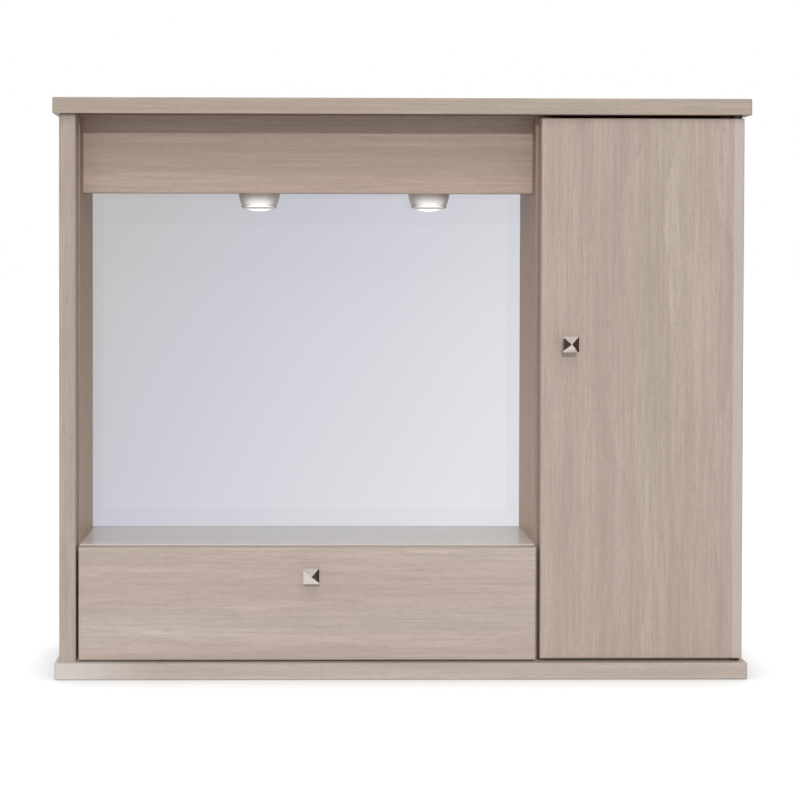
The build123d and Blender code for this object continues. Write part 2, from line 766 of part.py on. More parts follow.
def knob_screw(name, x, z):
    """The machine screw that holds a knob from the back of its front."""
    with BuildPart() as piece:
        rod((x, front_back_y, z), BACKWARD, knob_stem_radius, screw_head_height)
        rod((x, front_back_y, z), FORWARD, knob_screw_radius, front_thickness + knob_screw_grip)
    keep(piece, name)


pyramid_knob("door_knob", door_knob_x, door_knob_z)
knob_screw("door_knob_screw", door_knob_x, door_knob_z)
pyramid_knob("flap_knob", flap_knob_x, flap_knob_z)
knob_screw("flap_knob_screw", flap_knob_x, flap_knob_z)


def door_pivot(end_name, board_z, door_z, into_door):
    """A steel pin fixed in a projecting board, turning in a flanged bush let into the door's end."""
    out = tuple(-c for c in into_door)
    with BuildPart() as pin:
        pin_start = (pivot_x, pivot_y, board_z + out[2] * pivot_seat)
        pin_length = pivot_seat + door_end_gap + pivot_reach
        rod(pin_start, into_door, pivot_pin_radius, pin_length)
        collar_height = door_end_gap - bush_flange - fit_gap
        rod((pivot_x, pivot_y, board_z), into_door, collar_radius, collar_height)
    keep(pin, f"door_pivot_pin_{end_name}")
    with BuildPart() as bush:
        rod((pivot_x, pivot_y, door_z), into_door, bush_radius, bush_length)
        rod((pivot_x, pivot_y, door_z), out, bush_flange_radius, bush_flange)
        rod(
            (pivot_x, pivot_y, door_z + out[2] * bush_flange),
            into_door,
            pivot_pin_radius + pivot_running_gap,
            bush_flange + pivot_reach + hole_relief,
            Mode.SUBTRACT,
        )
    keep(bush, f"door_bush_{end_name}")


door_pivot("lower", floor_z, door_bottom_z, UP)
door_pivot("upper", ceiling_z, door_top_z, DOWN)


def flap_hinge(side_name, x):
    """A cup let into the flap's back, and the gooseneck arm that reaches into it from a foot on the board."""
    cup_back = Plane(origin=(x, front_back_y, hinge_pivot_z), x_dir=RIGHT, z_dir=FORWARD)
    flange_width, flange_height, flange_thickness = cup_flange
    pocket_width, pocket_height, pocket_depth = cup_pocket
    with BuildPart() as cup:
        with BuildSketch(cup_back):
            Circle(cup_radius)
        extrude(amount=cup_depth)
        with BuildSketch(cup_back):
            RectangleRounded(flange_width, flange_height, flange_height / 3)
        extrude(amount=-flange_thickness)
        with BuildSketch(cup_back.offset(-flange_thickness)):
            Rectangle(pocket_width, pocket_height)
        extrude(amount=flange_thickness + pocket_depth, mode=Mode.SUBTRACT)
        rod(
            (x - hinge_pin_length / 2, hinge_pivot_y, hinge_pivot_z),
            RIGHT,
            hinge_pin_radius + pivot_running_gap,
            hinge_pin_length,
            Mode.SUBTRACT,
        )
        for side in (-1, 1):
            seat = (x + side * cup_screw_spacing / 2, front_back_y + flange_thickness, hinge_pivot_z)
            through_hole(seat, FORWARD, flange_thickness)
    keep(cup, f"flap_hinge_cup_{side_name}")

    foot_width, foot_length, foot_height = foot_size
    foot_top = floor_z - flap_bottom_z + foot_height
    neck_top = hinge_pivot_up + cup_pocket[1] / 2 - fit_gap
    neck_bottom = neck_top - arm_eye_radius - fit_gap
    riser_front = hinge_pivot_out - hinge_pivot_up - foot_height
    shoulder_down, shoulder_in = arm_shoulder
    root_down, root_out = arm_root
    eye = arm_eye_radius
    with BuildPart() as arm:
        with BuildSketch(Plane(origin=(x, carcass_front_y, flap_bottom_z), x_dir=UP, z_dir=RIGHT)):
            with BuildLine():
                Polyline(
                    (foot_top - foot_height / 2, riser_front - arm_riser),
                    (neck_top - shoulder_down, riser_front - shoulder_in),
                    (neck_top, riser_front),
                    (neck_top, -arm_neck_setback),
                    (hinge_pivot_up + eye * eye_side, hinge_pivot_out + eye / 2),
                    (hinge_pivot_up - eye * eye_diagonal, hinge_pivot_out - eye * eye_diagonal),
                    (neck_bottom, -arm_crook),
                    (neck_bottom, riser_front + root_out),
                    (neck_bottom - root_down, riser_front),
                    (foot_top - foot_height / 2, riser_front),
                    close=True,
                )
            make_face()
            with Locations((hinge_pivot_up, hinge_pivot_out)):
                Circle(eye)
                Circle(hinge_pin_radius + pivot_running_gap, mode=Mode.SUBTRACT)
        extrude(amount=arm_width / 2, both=True)
        block(
            (x - foot_width / 2, x + foot_width / 2),
            (foot_far_y - foot_length, foot_far_y),
            (floor_z, floor_z + foot_height),
        )
        for side in (-1, 1):
            seat = (x + side * foot_screw_spacing / 2, foot_screw_y, floor_z + foot_height)
            through_hole(seat, DOWN, foot_height)
    keep(arm, f"flap_hinge_arm_{side_name}")


for side_name, x in hinge_xs.items():
    flap_hinge(side_name, x)

with BuildPart() as flap_hinge_pins:
    for x in hinge_xs.values():
        pin_start = (x - hinge_pin_length / 2, hinge_pivot_y, hinge_pivot_z)
        rod(pin_start, RIGHT, hinge_pin_radius, hinge_pin_length)
keep(flap_hinge_pins, "flap_hinge_pins")

with BuildPart() as flap_cup_screws:
    for x in cup_screw_xs:
        screw((x, front_back_y + cup_flange[2], hinge_pivot_z), FORWARD)
keep(flap_cup_screws, "flap_cup_screws")

with BuildPart() as flap_arm_screws:
    for x in foot_screw_xs:
        screw((x, foot_screw_y, floor_z + foot_size[2]), DOWN)
keep(flap_arm_screws, "flap_arm_screws")


def magnet_catch(name, seat, side_axis, long_axis):
    """A magnet in a plastic case with screw ears: seat is the middle of its base, side_axis its height."""
    thickness, depth, length = catch_size
    case = Plane(origin=seat, x_dir=long_axis, z_dir=side_axis)
    with BuildPart() as piece:
        with BuildSketch(case):
            RectangleRounded(length, depth - fit_gap, fitting_corner_radius)
        extrude(amount=catch_ear)
        with BuildSketch(case.offset(catch_ear)):
            Rectangle(catch_case_length, depth - fit_gap)
        extrude(amount=thickness - catch_ear)
        for side in (-1, 1):
            start = Vector(*seat) + Vector(*long_axis) * side * catch_screw_spacing / 2
            through_hole(tuple(start), side_axis, thickness)
    keep(piece, name)


magnet_catch("door_magnet_catch", (cupboard_left_x, catch_mid_y, door_catch_z), RIGHT, UP)
magnet_catch("flap_magnet_catch", (flap_catch_x, catch_mid_y, bay_shelf_bottom), DOWN, RIGHT)

with BuildPart() as catch_screws:
    for side in (-1, 1):
        shift = side * catch_screw_spacing / 2
        screw((cupboard_left_x + catch_ear, catch_mid_y, door_catch_z + shift), LEFT)
        screw((flap_catch_x + shift, catch_mid_y, bay_shelf_bottom - catch_ear), UP)
keep(catch_screws, "catch_screws")


def strike_plate(name, screw_name, x, z, long_axis):
    """The thin steel plate that the magnet holds, and its screw, on the back of a front."""
    width, thickness, length = strike_size
    with BuildPart() as piece:
        with BuildSketch(Plane(origin=(x, front_back_y, z), x_dir=long_axis, z_dir=BACKWARD)):
            RectangleRounded(length, width, fitting_corner_radius)
        extrude(amount=thickness)
        through_hole((x, front_back_y + thickness, z), FORWARD, thickness, thickness / 2)
    keep(piece, name)
    with BuildPart() as fixing:
        screw((x, front_back_y + thickness / 2, z), FORWARD, screw_length, thickness / 2)
    keep(fixing, screw_name)


strike_plate("door_strike_plate", "door_strike_screw", door_strike_x, door_catch_z, UP)
strike_plate("flap_strike_plate", "flap_strike_screw", flap_catch_x, flap_strike_z, RIGHT)


def bumpers(name, points):
    """Soft pads on the back of a front that meet the carcass."""
    with BuildPart() as piece:
        for x, z in points:
            rod((x, front_back_y, z), BACKWARD, bumper_radius, bumper_height)
    keep(piece, name)


bumpers("door_bumpers", door_bumper_points)
bumpers("flap_bumpers", flap_bumper_points)
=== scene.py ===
import json
import math

import bmesh
import bpy
import numpy as np
from mathutils import Matrix, Vector


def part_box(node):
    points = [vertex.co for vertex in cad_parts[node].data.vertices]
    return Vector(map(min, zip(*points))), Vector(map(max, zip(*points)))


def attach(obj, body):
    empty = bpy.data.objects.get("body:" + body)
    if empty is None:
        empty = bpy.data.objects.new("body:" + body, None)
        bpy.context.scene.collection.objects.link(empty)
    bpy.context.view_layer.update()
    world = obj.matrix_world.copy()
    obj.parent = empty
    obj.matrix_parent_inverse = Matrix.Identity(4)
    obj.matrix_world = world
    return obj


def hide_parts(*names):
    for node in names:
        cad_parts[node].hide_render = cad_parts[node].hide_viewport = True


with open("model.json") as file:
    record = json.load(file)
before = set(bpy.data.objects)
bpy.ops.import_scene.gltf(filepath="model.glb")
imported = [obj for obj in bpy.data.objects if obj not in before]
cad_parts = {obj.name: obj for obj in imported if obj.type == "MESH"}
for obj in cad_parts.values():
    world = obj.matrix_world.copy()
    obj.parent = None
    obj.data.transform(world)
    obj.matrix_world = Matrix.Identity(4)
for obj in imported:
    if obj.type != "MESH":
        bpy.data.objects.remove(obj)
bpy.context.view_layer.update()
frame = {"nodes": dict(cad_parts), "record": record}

# The wall-hung mirror cabinet: metres, +X right, +Y into the wall, +Z up, fronts facing -Y.
nodes = frame["nodes"]
canopy_ceiling_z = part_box("light_shelf")[0].z

ALONG_X, ALONG_Z = 0, 2
UP, DOWN = (0.0, 0.0, 1.0), (0.0, 0.0, -1.0)
RIGHTWARD, LEFTWARD = (1.0, 0.0, 0.0), (-1.0, 0.0, 0.0)
WALLWARD = (0.0, 1.0, 0.0)
ROOMWARD = (0.0, -1.0, 0.0)

# Screen values to scene-linear light
SRGB_KNEE, SRGB_SLOPE, SRGB_OFFSET, SRGB_POWER = 0.04045, 12.92, 0.055, 2.4


def linear(red, green, blue):
    """A colour given as 0 to 255 screen values, turned to scene-linear values with an alpha of 1."""
    steps = [channel / 255 for channel in (red, green, blue)]
    return tuple(
        step / SRGB_SLOPE if step <= SRGB_KNEE else ((step + SRGB_OFFSET) / (1 + SRGB_OFFSET)) ** SRGB_POWER
        for step in steps
    ) + (1.0,)


# Colours: the elm's tones and pores, its painted pale ends (painted light), and the painted shade under the
# top board and in the bay
PALE_ELM = linear(194, 181, 169)
PINK_ELM = linear(187, 169, 159)
DARK_ELM = linear(151, 138, 127)
PORE_BROWN = linear(118, 102, 90)
PAINTED_PALE_ELM = linear(203, 199, 197)
UNDER_SHADE_BROWN = linear(102, 76, 60)
CANOPY_SHADE = (0.68, 0.62, 0.61, 1.0)
VEIL_GREY = (0.66, 0.66, 0.66, 1.0)

# The mirror's painted reflection, a glowing colour, from its upper left to its lower right, and where each
# tone lies on the way
REFLECTION_WARM_GREY = linear(198, 196, 196)
REFLECTION_LILAC = linear(204, 205, 216)
REFLECTION_PALE = linear(211, 212, 220)
REFLECTION_WHITE = linear(227, 229, 233)
GREY_AT, LILAC_AT, PALE_AT, WHITE_AT = 0.16, 0.41, 0.56, 0.96

# Mirror: the share of painted reflection over the silvering, the share of it that glows as painted light, and
# the share of that glow which the boards beside it don't get
REFLECTION_SHARE = 0.93
REFLECTION_GLOW = 0.92
GLOW_HELD_BACK = 0.5

# What the studio shows to gloss: a pale sky and dark screens, each with the stretch over which it sets in,
# as a part of the ray's way in the sky, and as x / |y| and x in metres on the floor
SCREEN_BROWN = (0.075, 0.05, 0.04, 1.0)
SKY_PALE = (0.78, 0.76, 0.76, 1.0)
SKY_RIGHT, SKY_LEFT_NEAR, SKY_LEFT_FAR = (0.86, 0.9), (0.76, 0.8), (0.85, 0.88)
FLOOR_RIGHT, FLOOR_RIGHT_START = (0.85, 1.0), (0.22, 0.32)
FLOOR_LEFT, FLOOR_LEFT_START = (1.0, 1.15), (1.5, 2.2)
LEAST_Y = 0.1  # the least |y| that the floor divides by

# Floor: its size, the light it throws back, its glow to the camera and to gloss, and its contact shade
FLOOR_REACH, FLOOR_DROP = 30.0, 0.0005
FLOOR_BOUNCE = (0.74, 0.73, 0.72, 1.0)
FLOOR_GLOW, FLOOR_GLOSS_GLOW = 0.52, 1.2
CONTACT_REACH, CONTACT_SHADE = 0.06, 0.6

# Lamps of the studio
FILL_LIGHT, FILL_COLOUR = 0.58, (1.0, 0.995, 0.985, 1.0)
KEY_LIGHT = 1.26
KEY_SIDE, KEY_FALL, KEY_SOFTNESS = 0.04, 0.36, 2.5
TOP_LIGHT = 0.78
TOP_FALL, TOP_SOFTNESS = 1.3, 32.0


# Shader building


def add_node(tree, kind, inputs=None, **settings):
    """A shader node: settings are its own options, and each input is linked if it is a socket, else set."""
    made = tree.nodes.new(kind)
    for name, value in settings.items():
        setattr(made, name, value)
    for name, value in (inputs or {}).items():
        if isinstance(value, bpy.types.NodeSocket):
            tree.links.new(value, made.inputs[name])
        else:
            made.inputs[name].default_value = value
    return made


def blank_material(name, **surface_values):
    """A material with one Principled shader, whose plain values are set on its own sockets."""
    material = bpy.data.materials.new(name)
    material.use_nodes = True
    tree = material.node_tree
    surface = tree.nodes["Principled BSDF"]
    for socket, value in surface_values.items():
        surface.inputs[socket.replace("_", " ")].default_value = value
    return material, tree, surface


def arithmetic(tree, operation, first, second=0.0, third=0.0):
    """The result socket of one Math node."""
    return add_node(tree, "ShaderNodeMath", {0: first, 1: second, 2: third}, operation=operation).outputs[0]


def blend_colours(tree, factor, first, second, how="MIX"):
    """The colour socket of a Mix node between two colours or sockets."""
    made = add_node(tree, "ShaderNodeMix", {0: factor}, data_type="RGBA", blend_type=how)
    for index, value in ((6, first), (7, second)):
        if isinstance(value, bpy.types.NodeSocket):
            tree.links.new(value, made.inputs[index])
        else:
            made.inputs[index].default_value = value
    return made.outputs[2]


def ramp(tree, value, low, high):
    """value between low and high stretched to 0 to 1 with soft ends."""
    made = add_node(
        tree,
        "ShaderNodeMapRange",
        {"Value": value, "From Min": low, "From Max": high},
        interpolation_type="SMOOTHSTEP",
    )
    return made.outputs["Result"]


def streaked_noise(tree, place, along, across, detail, roughness=0.55, distortion=0.0):
    """Noise stretched along the grain: along and across are its waves per metre in those directions."""
    scaled = add_node(tree, "ShaderNodeMapping", {"Vector": place, "Scale": (along, across, across)})
    noise = add_node(
        tree,
        "ShaderNodeTexNoise",
        {
            "Vector": scaled.outputs[0],
            "Scale": 1.0,
            "Detail": detail,
            "Roughness": roughness,
            "Distortion": distortion,
        },
    )
    return noise.outputs[0]


def even_noise(tree, place, scale, detail=2.0):
    """Noise with the same waves per metre every way."""
    noise = add_node(tree, "ShaderNodeTexNoise", {"Vector": place, "Scale": scale, "Detail": detail})
    return noise.outputs[0]


def object_part(tree, axis):
    """The socket of one of the point's own coordinates in metres: 0 for x, 1 for y and 2 for z."""
    coords = add_node(tree, "ShaderNodeTexCoord")
    return add_node(tree, "ShaderNodeSeparateXYZ", {0: coords.outputs["Object"]}).outputs[axis]


def facing_part(tree, axis):
    """The socket of one part of the surface's outward direction: 0 for x, 1 for y and 2 for z."""
    coords = add_node(tree, "ShaderNodeTexCoord")
    return add_node(tree, "ShaderNodeSeparateXYZ", {0: coords.outputs["Normal"]}).outputs[axis]


def shown_to(tree, kind, shown, otherwise):
    """A shader socket: shown to rays of one kind, otherwise to all the rest."""
    rays = add_node(tree, "ShaderNodeLightPath")
    choice = add_node(tree, "ShaderNodeMixShader", {0: rays.outputs[kind], 1: otherwise, 2: shown})
    return choice.outputs[0]


def add_bump(tree, surface, height, strength, depth):
    """Relief of this depth in metres from a height socket, on the surface's normal."""
    bump = add_node(tree, "ShaderNodeBump", {"Height": height, "Strength": strength, "Distance": depth})
    tree.links.new(bump.outputs[0], surface.inputs["Normal"])


# Finishes

SQUARELY = 0.7  # the part of a face's direction along an axis from which it counts as looking that way


def grain_place(tree, grain, shift):
    """Object coordinates reordered to (along the grain, across, across) and shifted by a vector.

    Where a face looks along the grain, as a board's ends do, its banding runs along the depth instead.
    """
    coords = add_node(tree, "ShaderNodeTexCoord")
    parts = add_node(tree, "ShaderNodeSeparateXYZ", {0: coords.outputs["Object"]})
    others = [axis for axis in (0, 1, 2) if axis != grain]
    long_way = add_node(
        tree,
        "ShaderNodeCombineXYZ",
        {0: parts.outputs[grain], 1: parts.outputs[others[0]], 2: parts.outputs[others[1]]},
    )
    end_way = add_node(
        tree,
        "ShaderNodeCombineXYZ",
        {0: parts.outputs[1], 1: parts.outputs[grain], 2: parts.outputs[2 - grain]},
    )
    facing = arithmetic(tree, "ABSOLUTE", facing_part(tree, grain))
    is_end = arithmetic(tree, "GREATER_THAN", facing, SQUARELY)
    chosen = add_node(tree, "ShaderNodeMix", {0: is_end}, data_type="VECTOR")
    tree.links.new(long_way.outputs[0], chosen.inputs[4])
    tree.links.new(end_way.outputs[0], chosen.inputs[5])
    moved = add_node(tree, "ShaderNodeVectorMath", {0: chosen.outputs[1], 1: shift}, operation="ADD")
    return moved.outputs[0]


def painted_bay_light_and_shade(tree, toned, bay_side_light):
    """toned, but bay_side_light, a warmer painted bounce light, on the faces that look into the mirror bay,
    with CANOPY_SHADE, painted shade, up to the canopy.

    A face looks into the bay if its x from the bay's middle, times its direction's x, is well below 0.
    """
    bay_low, bay_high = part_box("bay_shelf")
    least_away, panel_reach = 0.1, 0.02
    from_middle = arithmetic(tree, "SUBTRACT", object_part(tree, 0), (bay_low.x + bay_high.x) / 2)
    outward = arithmetic(tree, "MULTIPLY", from_middle, facing_part(tree, 0))
    inward = arithmetic(tree, "LESS_THAN", outward, -least_away)
    in_bay = arithmetic(tree, "LESS_THAN", object_part(tree, 0), bay_high.x + panel_reach)
    facing_bay = arithmetic(tree, "MULTIPLY", inward, in_bay)
    toned = blend_colours(tree, facing_bay, toned, bay_side_light + (1.0,))
    climb = ramp(tree, object_part(tree, 2), bay_high.z, canopy_ceiling_z)
    shaded = arithmetic(tree, "MULTIPLY", facing_bay, climb)
    return blend_colours(tree, shaded, toned, CANOPY_SHADE, "MULTIPLY")


def painted_paleness(tree, colour, start_x, end_x, share):
    """colour that turns to PAINTED_PALE_ELM, painted light, by at most this share, from one x to another."""
    paleness = arithmetic(tree, "MULTIPLY", ramp(tree, object_part(tree, 0), start_x, end_x), share)
    return blend_colours(tree, paleness, colour, PAINTED_PALE_ELM)


def painted_underside_shade(tree, colour):
    """colour with UNDER_SHADE_BROWN, a painted shadow, on downward faces between the sides, from the front
    half way to the fascia.
    """
    under_shade_share = 0.85
    left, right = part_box("left_side_panel")[0].x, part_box("right_side_panel")[1].x
    strip_end = (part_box("top_board")[0].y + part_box("fascia")[0].y) / 2
    under = arithmetic(tree, "LESS_THAN", facing_part(tree, 2), -SQUARELY)
    ahead = arithmetic(tree, "LESS_THAN", object_part(tree, 1), strip_end)
    from_middle = arithmetic(tree, "SUBTRACT", object_part(tree, 0), (left + right) / 2)
    inside = arithmetic(tree, "LESS_THAN", arithmetic(tree, "ABSOLUTE", from_middle), (right - left) / 2)
    under_shade = arithmetic(tree, "MULTIPLY", arithmetic(tree, "MULTIPLY", under, ahead), inside)
    return blend_colours(tree, arithmetic(tree, "MULTIPLY", under_shade, under_shade_share), colour, UNDER_SHADE_BROWN)


def elm_board(
    name,
    grain,
    shift,
    tint=(1.0, 1.0, 1.0),
    gloss=0.36,
    whiten=0.0,
    front_face_light=None,
    bay_side_light=None,
    painted_pale_end=None,
    under_shade=False,
):
    """Printed grey-beige elm on board: broad tone bands, growth rings, fine streaks and short dark pores.

    tint scales the red, green and blue of the whole board, front_face_light does so where it faces the room,
    as painted light and shade, and bay_side_light where it looks into the mirror bay, as painted bounce
    light.
    whiten veils it towards VEIL_GREY, a painted reflection. painted_pale_end holds the two x and the share of
    painted_paleness, painted light, and under_shade asks for the painted_underside_shade.
    """
    material, tree, surface = blank_material(name)
    place = grain_place(tree, grain, shift)
    # Each pattern: waves per metre along and across the grain, then the two levels between which it shows
    tone = ramp(tree, streaked_noise(tree, place, 0.9, 13.0, 2.0), 0.36, 0.64)
    bands = ramp(tree, streaked_noise(tree, place, 1.6, 55.0, 3.0, distortion=0.5), 0.3, 0.7)
    streaks = ramp(tree, streaked_noise(tree, place, 7.0, 230.0, 4.0, 0.62), 0.34, 0.68)
    hairlines = ramp(tree, streaked_noise(tree, place, 14.0, 620.0, 2.0, 0.6), 0.4, 0.7)
    flecks = ramp(tree, streaked_noise(tree, place, 130.0, 520.0, 2.0, 0.6), 0.42, 0.66)
    fibres = streaked_noise(tree, place, 40.0, 900.0, 3.0, 0.6)
    pores = ramp(tree, streaked_noise(tree, place, 55.0, 1300.0, 2.0), 0.6, 0.72)
    warped = add_node(tree, "ShaderNodeMapping", {"Vector": place, "Scale": (0.55, 1.0, 1.0)})
    rings = add_node(
        tree,
        "ShaderNodeTexWave",
        {
            "Vector": warped.outputs[0],
            "Scale": 26.0,
            "Distortion": 7.0,
            "Detail": 2.0,
            "Detail Scale": 0.35,
            "Detail Roughness": 0.45,
        },
        wave_type="RINGS",
        rings_direction="X",
        wave_profile="SAW",
    )
    colour = blend_colours(tree, tone, PALE_ELM, PINK_ELM)
    for pattern, share, shade in (
        (bands, 0.34, DARK_ELM),
        (rings.outputs["Fac"], 0.24, DARK_ELM),
        (streaks, 0.28, DARK_ELM),
        (hairlines, 0.34, DARK_ELM),
        (flecks, 0.22, DARK_ELM),
        (pores, 0.35, PORE_BROWN),
    ):
        colour = blend_colours(tree, arithmetic(tree, "MULTIPLY", pattern, share), colour, shade)
    toned = tint + (1.0,)
    if front_face_light:
        # painted light and shade on faces toward the room: a painted highlight on the bay shelf, painted
        # shade on the panels
        to_room = arithmetic(tree, "LESS_THAN", facing_part(tree, 1), -SQUARELY)
        toned = blend_colours(tree, to_room, toned, front_face_light + (1.0,))
    # painted bounce light and painted shade inside the mirror bay
    if bay_side_light:
        toned = painted_bay_light_and_shade(tree, toned, bay_side_light)
    colour = blend_colours(tree, 1.0, colour, toned, "MULTIPLY")
    # painted reflection: the whitening veil
    colour = blend_colours(tree, whiten, colour, VEIL_GREY)
    # painted light: paler towards one end
    if painted_pale_end:
        colour = painted_paleness(tree, colour, *painted_pale_end)
    # painted shadow: dark brown under the top board's front edge
    if under_shade:
        colour = painted_underside_shade(tree, colour)
    tree.links.new(colour, surface.inputs["Base Color"])
    tree.links.new(arithmetic(tree, "MULTIPLY_ADD", fibres, 0.16, gloss), surface.inputs["Roughness"])
    add_bump(tree, surface, arithmetic(tree, "SUBTRACT", fibres, pores), 0.25, 0.0003)
    return material


def raw_board(name, colour, speckle):
    """Unlaid hardboard or beech: a flat tone broken by fine mottling and short fibres."""
    material, tree, surface = blank_material(name, Roughness=0.7)
    place = grain_place(tree, ALONG_Z, (0.3, 0.1, 0.7))
    mottle = streaked_noise(tree, place, 120.0, 420.0, 4.0)
    mixed = blend_colours(tree, ramp(tree, mottle, 0.35, 0.65), colour, speckle)
    tree.links.new(mixed, surface.inputs["Base Color"])
    add_bump(tree, surface, mottle, 0.3, 0.0002)
    return material


def silvered_glass(name):
    """A silvered sheet under a painted reflection, a partly glowing colour that shades from warm grey at the
    upper left to near white.

    The painted reflection's place on the ramp is (2 * share of the width + share of the height, downwards) /
    3, and a faint noise makes it waver.
    """
    material, tree, surface = blank_material(name, Metallic=1.0)
    coords = add_node(tree, "ShaderNodeTexCoord")
    parts = add_node(tree, "ShaderNodeSeparateXYZ", {0: coords.outputs["Object"]})
    low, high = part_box("mirror_glass")
    rightward = arithmetic(tree, "SUBTRACT", parts.outputs[0], low.x)
    downward = arithmetic(tree, "SUBTRACT", high.z, parts.outputs[2])
    fallen = arithmetic(tree, "DIVIDE", downward, 3 * (high.z - low.z))
    travel = arithmetic(tree, "MULTIPLY_ADD", rightward, 2 / (3 * (high.x - low.x)), fallen)
    veil = even_noise(tree, coords.outputs["Object"], 3.0, 1.0)
    wavering = arithmetic(tree, "MULTIPLY_ADD", veil, 0.12, travel)
    fade = add_node(tree, "ShaderNodeValToRGB", {0: wavering})
    stops = fade.color_ramp.elements
    stops[0].position, stops[0].color = GREY_AT, REFLECTION_WARM_GREY
    stops[1].position, stops[1].color = WHITE_AT, REFLECTION_WHITE
    stops.new(LILAC_AT).color = REFLECTION_LILAC
    stops.new(PALE_AT).color = REFLECTION_PALE
    shade = fade.outputs[0]
    tree.links.new(shade, surface.inputs["Base Color"])
    ripple = even_noise(tree, coords.outputs["Object"], 9.0, 1.0)
    tree.links.new(arithmetic(tree, "MULTIPLY_ADD", ripple, 0.04, 0.03), surface.inputs["Roughness"])
    add_bump(tree, surface, ripple, 0.02, 0.0002)
    matt = add_node(tree, "ShaderNodeBsdfDiffuse", {"Color": shade})
    # painted light: the painted reflection glows, and lights the boards beside it at reduced strength
    rays = add_node(tree, "ShaderNodeLightPath")
    strength = arithmetic(tree, "MULTIPLY_ADD", rays.outputs["Is Diffuse Ray"], -GLOW_HELD_BACK, 1.0)
    glow = add_node(tree, "ShaderNodeEmission", {"Color": shade, "Strength": strength})
    reflection_paint = add_node(tree, "ShaderNodeMixShader", {0: REFLECTION_GLOW, 1: matt.outputs[0], 2: glow.outputs[0]})
    mix = add_node(tree, "ShaderNodeMixShader", {0: REFLECTION_SHARE, 1: surface.outputs[0], 2: reflection_paint.outputs[0]})
    tree.links.new(mix.outputs[0], tree.nodes["Material Output"].inputs["Surface"])
    return material


def polished_metal(name, colour, roughness, brushing):
    """Plated metal: fine brushing lines alter its gloss and stand in slight relief."""
    material, tree, surface = blank_material(name, Metallic=1.0, Base_Color=colour)
    coords = add_node(tree, "ShaderNodeTexCoord")
    lines = streaked_noise(tree, coords.outputs["Object"], 260.0, 2600.0, 3.0)
    tree.links.new(arithmetic(tree, "MULTIPLY_ADD", lines, brushing, roughness), surface.inputs["Roughness"])
    add_bump(tree, surface, lines, 0.12, 0.00008)
    return material


def moulded_plastic(name, colour, roughness):
    """Moulded plastic: a fine even texture in gloss and relief, and faint cloudy patches of tone."""
    material, tree, surface = blank_material(name)
    place = add_node(tree, "ShaderNodeTexCoord").outputs["Object"]
    texture, patches = even_noise(tree, place, 1800.0), even_noise(tree, place, 60.0)
    darker = tuple(channel * 0.88 for channel in colour[:3]) + (1.0,)
    tree.links.new(blend_colours(tree, patches, colour, darker), surface.inputs["Base Color"])
    tree.links.new(arithmetic(tree, "MULTIPLY_ADD", texture, 0.1, roughness), surface.inputs["Roughness"])
    add_bump(tree, surface, texture, 0.2, 0.00005)
    return material


def lit_shade(name, upper, lower, z_top, z_rim, glow, roughness, front_glare=False):
    """A translucent piece lit from inside: its colour and glow grow from z_top down to z_rim.

    The glow is that lowness cubed, and with front_glare it fades towards the sides and the back, a painted
    glare towards the room.
    """
    material, tree, surface = blank_material(name, Roughness=roughness)
    lowness = arithmetic(tree, "SUBTRACT", 1.0, ramp(tree, object_part(tree, 2), z_rim, z_top))
    frosting = even_noise(tree, add_node(tree, "ShaderNodeTexCoord").outputs["Object"], 900.0)
    uneven = arithmetic(tree, "MULTIPLY_ADD", frosting, 0.2, lowness)
    colour = blend_colours(tree, uneven, upper, lower)
    tree.links.new(colour, surface.inputs["Base Color"])
    tree.links.new(colour, surface.inputs["Emission Color"])
    strength = arithmetic(tree, "MULTIPLY", arithmetic(tree, "POWER", uneven, 3.0), glow)
    # painted glare: the glow is strongest on the faces that look towards the room
    if front_glare:
        sideways, straight_ahead = -0.45, -1.0
        frontness = ramp(tree, facing_part(tree, 1), sideways, straight_ahead)
        strength = arithmetic(tree, "MULTIPLY", strength, frontness)
    tree.links.new(strength, surface.inputs["Emission Strength"])
    add_bump(tree, surface, frosting, 0.15, 0.00005)
    return material


# Panels: painted shade on their room-facing edges, and in the bay a warmer painted bounce light with painted
# shade up to the canopy
panel_elm = elm_board(
    "elm_panel",
    ALONG_Z,
    (4.6, 1.9, 5.0),
    (0.95, 0.93, 0.92),
    front_face_light=(0.85, 0.8, 0.76),
    bay_side_light=(1.3, 1.06, 0.8),
)
cupboard_shelf_elm = elm_board("elm_cupboard_shelf", ALONG_X, (9.3, 1.2, 0.8))
hardboard = raw_board("hardboard_back", linear(196, 187, 174), linear(176, 166, 152))
dark_nylon = moulded_plastic("dark_nylon", linear(74, 66, 60), 0.5)
burnished_steel = polished_metal("burnished_pin", linear(96, 88, 82), 0.35, 0.1)

